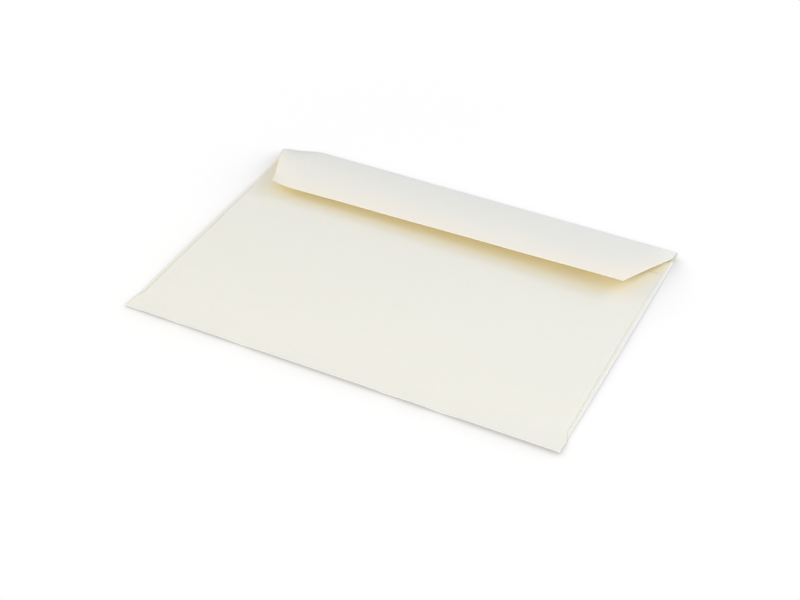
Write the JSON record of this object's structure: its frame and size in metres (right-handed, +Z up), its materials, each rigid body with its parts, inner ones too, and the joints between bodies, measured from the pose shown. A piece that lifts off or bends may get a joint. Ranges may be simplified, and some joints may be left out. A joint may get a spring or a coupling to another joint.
{
  "type": "paper envelope",
  "caption": "Plain cream wallet envelope of folded paper, lying on its address side, its straight-edged flap folded over and standing open.",
  "frame": {"origin": "middle of the underside, which is the flat address side lying on the table", "axes": "+X along the bottom fold, +Y from the bottom fold to the flap fold, +Z up out of the table"},
  "size_m": [0.229, 0.162, 0.0106],
  "materials": {
    "paper": "uncoated, matte"
  },
  "bodies": {
    "root": {"envelope": "paper"}
  },
  "joints": []
}
